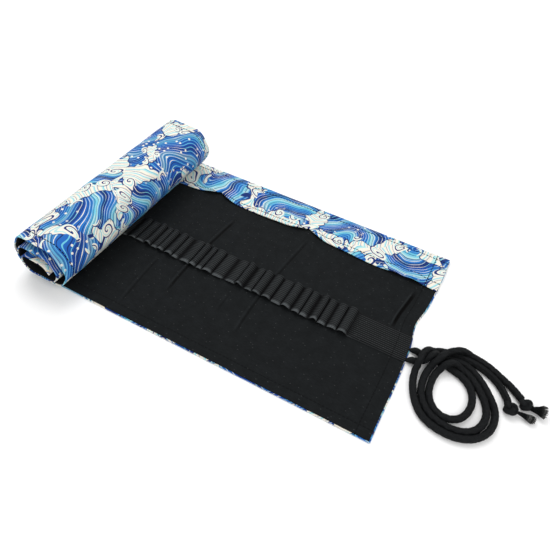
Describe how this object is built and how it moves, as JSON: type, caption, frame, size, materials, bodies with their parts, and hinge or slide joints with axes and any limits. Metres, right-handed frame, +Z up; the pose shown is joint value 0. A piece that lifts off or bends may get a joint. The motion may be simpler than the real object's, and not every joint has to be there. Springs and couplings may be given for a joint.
{
  "type": "brush roll case",
  "caption": "Roll-up cloth case for brushes or pencils, with an elastic loop band, an end flap along the back edge and tie cords, shown partly unrolled.",
  "frame": {"origin": "middle of the underside of the case without its cords, on the surface it lies on", "axes": "+X along the strip, from the roll to the cord end; +Y across the strip, from the open front edge to the folded back edge with the flap; +Z up"},
  "size_m": [0.4197, 0.2086, 0.0447],
  "materials": {
    "printed_cloth": "woven cotton canvas, matt, printed with blue and cream waves",
    "dark_lining": "plain dark woven lining, matt",
    "elastic_web": "ribbed woven elastic, matt",
    "braided_cord": "round braided cord, matt"
  },
  "bodies": {
    "flat_part": {"cover_flat": "printed_cloth", "lining_flat": "dark_lining", "elastic_flat": "elastic_web", "cord_lead_a": "braided_cord", "cord_lead_b": "braided_cord", "cord_coil": "braided_cord", "cord_tail_a": "braided_cord", "knot_a": "braided_cord", "tassel_a": "braided_cord", "cord_tail_b": "braided_cord", "knot_b": "braided_cord", "tassel_b": "braided_cord"},
    "roll_01": {"cover_01": "printed_cloth", "lining_01": "dark_lining", "elastic_01": "elastic_web"},
    "roll_02": {"cover_02": "printed_cloth", "lining_02": "dark_lining", "elastic_02": "elastic_web"},
    "roll_03": {"cover_03": "printed_cloth", "lining_03": "dark_lining", "elastic_03": "elastic_web"},
    "roll_04": {"cover_04": "printed_cloth", "lining_04": "dark_lining", "elastic_04": "elastic_web"},
    "roll_05": {"cover_05": "printed_cloth", "lining_05": "dark_lining", "elastic_05": "elastic_web"},
    "roll_06": {"cover_06": "printed_cloth", "lining_06": "dark_lining", "elastic_06": "elastic_web"},
    "roll_07": {"cover_07": "printed_cloth", "lining_07": "dark_lining", "elastic_07": "elastic_web"},
    "roll_08": {"cover_08": "printed_cloth", "lining_08": "dark_lining", "elastic_08": "elastic_web"},
    "roll_09": {"cover_09": "printed_cloth", "lining_09": "dark_lining", "elastic_09": "elastic_web"},
    "roll_10": {"cover_10": "printed_cloth", "lining_10": "dark_lining", "elastic_10": "elastic_web"},
    "roll_11": {"cover_11": "printed_cloth", "lining_11": "dark_lining", "elastic_11": "elastic_web"},
    "roll_12": {"cover_12": "printed_cloth", "lining_12": "dark_lining", "elastic_12": "elastic_web"},
    "roll_13": {"cover_13": "printed_cloth", "lining_13": "dark_lining", "elastic_13": "elastic_web"},
    "roll_14": {"cover_14": "printed_cloth", "lining_14": "dark_lining", "elastic_14": "elastic_web"},
    "roll_15": {"cover_15": "printed_cloth", "lining_15": "dark_lining", "elastic_15": "elastic_web"},
    "roll_16": {"cover_16": "printed_cloth", "lining_16": "dark_lining", "elastic_16": "elastic_web"}
  },
  "joints": [
    {"name": "unroll_01", "type": "hinge", "parent": "flat_part", "child": "roll_01", "pos_m": [-0.14656, -0.09572, 0.00188], "axis": [-0.0236, -0.9997, 0], "range_deg": [0, 60]},
    {"name": "unroll_02", "type": "hinge", "parent": "roll_01", "child": "roll_02", "pos_m": [-0.15874, -0.09543, 0.02287], "axis": [-0.0236, -0.9997, 0], "range_deg": [0, 60]},
    {"name": "unroll_03", "type": "hinge", "parent": "roll_02", "child": "roll_03", "pos_m": [-0.14723, -0.0957, 0.04294], "axis": [-0.0236, -0.9997, 0], "range_deg": [0, 60]},
    {"name": "unroll_04", "type": "hinge", "parent": "roll_03", "child": "roll_04", "pos_m": [-0.11169, -0.09654, 0.04301], "axis": [-0.0236, -0.9997, 0], "range_deg": [0, 60]},
    {"name": "unroll_05", "type": "hinge", "parent": "roll_04", "child": "roll_05", "pos_m": [-0.10108, -0.09679, 0.02473], "axis": [-0.0236, -0.9997, 0], "range_deg": [0, 60]},
    {"name": "unroll_06", "type": "hinge", "parent": "roll_05", "child": "roll_06", "pos_m": [-0.11103, -0.09656, 0.00737], "axis": [-0.0236, -0.9997, 0], "range_deg": [0, 60]},
    {"name": "unroll_07", "type": "hinge", "parent": "roll_06", "child": "roll_07", "pos_m": [-0.14319, -0.0958, 0.00731], "axis": [-0.0236, -0.9997, 0], "range_deg": [0, 60]},
    {"name": "unroll_08", "type": "hinge", "parent": "roll_07", "child": "roll_08", "pos_m": [-0.15201, -0.09559, 0.02247], "axis": [-0.0236, -0.9997, 0], "range_deg": [0, 60]},
    {"name": "unroll_09", "type": "hinge", "parent": "roll_08", "child": "roll_09", "pos_m": [-0.14386, -0.09578, 0.03671], "axis": [-0.0236, -0.9997, 0], "range_deg": [0, 60]},
    {"name": "unroll_10", "type": "hinge", "parent": "roll_09", "child": "roll_10", "pos_m": [-0.11506, -0.09646, 0.03677], "axis": [-0.0236, -0.9997, 0], "range_deg": [0, 60]},
    {"name": "unroll_11", "type": "hinge", "parent": "roll_10", "child": "roll_11", "pos_m": [-0.10782, -0.09663, 0.02433], "axis": [-0.0236, -0.9997, 0], "range_deg": [0, 60]},
    {"name": "unroll_12", "type": "hinge", "parent": "roll_11", "child": "roll_12", "pos_m": [-0.1144, -0.09648, 0.01281], "axis": [-0.0236, -0.9997, 0], "range_deg": [0, 60]},
    {"name": "unroll_13", "type": "hinge", "parent": "roll_12", "child": "roll_13", "pos_m": [-0.13982, -0.09588, 0.01275], "axis": [-0.0236, -0.9997, 0], "range_deg": [0, 60]},
    {"name": "unroll_14", "type": "hinge", "parent": "roll_13", "child": "roll_14", "pos_m": [-0.14527, -0.09575, 0.02207], "axis": [-0.0236, -0.9997, 0], "range_deg": [0, 60]},
    {"name": "unroll_15", "type": "hinge", "parent": "roll_14", "child": "roll_15", "pos_m": [-0.14049, -0.09586, 0.03047], "axis": [-0.0236, -0.9997, 0], "range_deg": [0, 60]},
    {"name": "unroll_16", "type": "hinge", "parent": "roll_15", "child": "roll_16", "pos_m": [-0.11843, -0.09638, 0.03053], "axis": [-0.0236, -0.9997, 0], "range_deg": [0, 60]}
  ],
  "couplings": [
    {"joint": "unroll_02", "follows": "unroll_01", "ratio": 1},
    {"joint": "unroll_03", "follows": "unroll_01", "ratio": 1},
    {"joint": "unroll_04", "follows": "unroll_01", "ratio": 1},
    {"joint": "unroll_05", "follows": "unroll_01", "ratio": 1},
    {"joint": "unroll_06", "follows": "unroll_01", "ratio": 1},
    {"joint": "unroll_07", "follows": "unroll_01", "ratio": 1},
    {"joint": "unroll_08", "follows": "unroll_01", "ratio": 1},
    {"joint": "unroll_09", "follows": "unroll_01", "ratio": 1},
    {"joint": "unroll_10", "follows": "unroll_01", "ratio": 1},
    {"joint": "unroll_11", "follows": "unroll_01", "ratio": 1},
    {"joint": "unroll_12", "follows": "unroll_01", "ratio": 1},
    {"joint": "unroll_13", "follows": "unroll_01", "ratio": 1},
    {"joint": "unroll_14", "follows": "unroll_01", "ratio": 1},
    {"joint": "unroll_15", "follows": "unroll_01", "ratio": 1},
    {"joint": "unroll_16", "follows": "unroll_01", "ratio": 1}
  ]
}
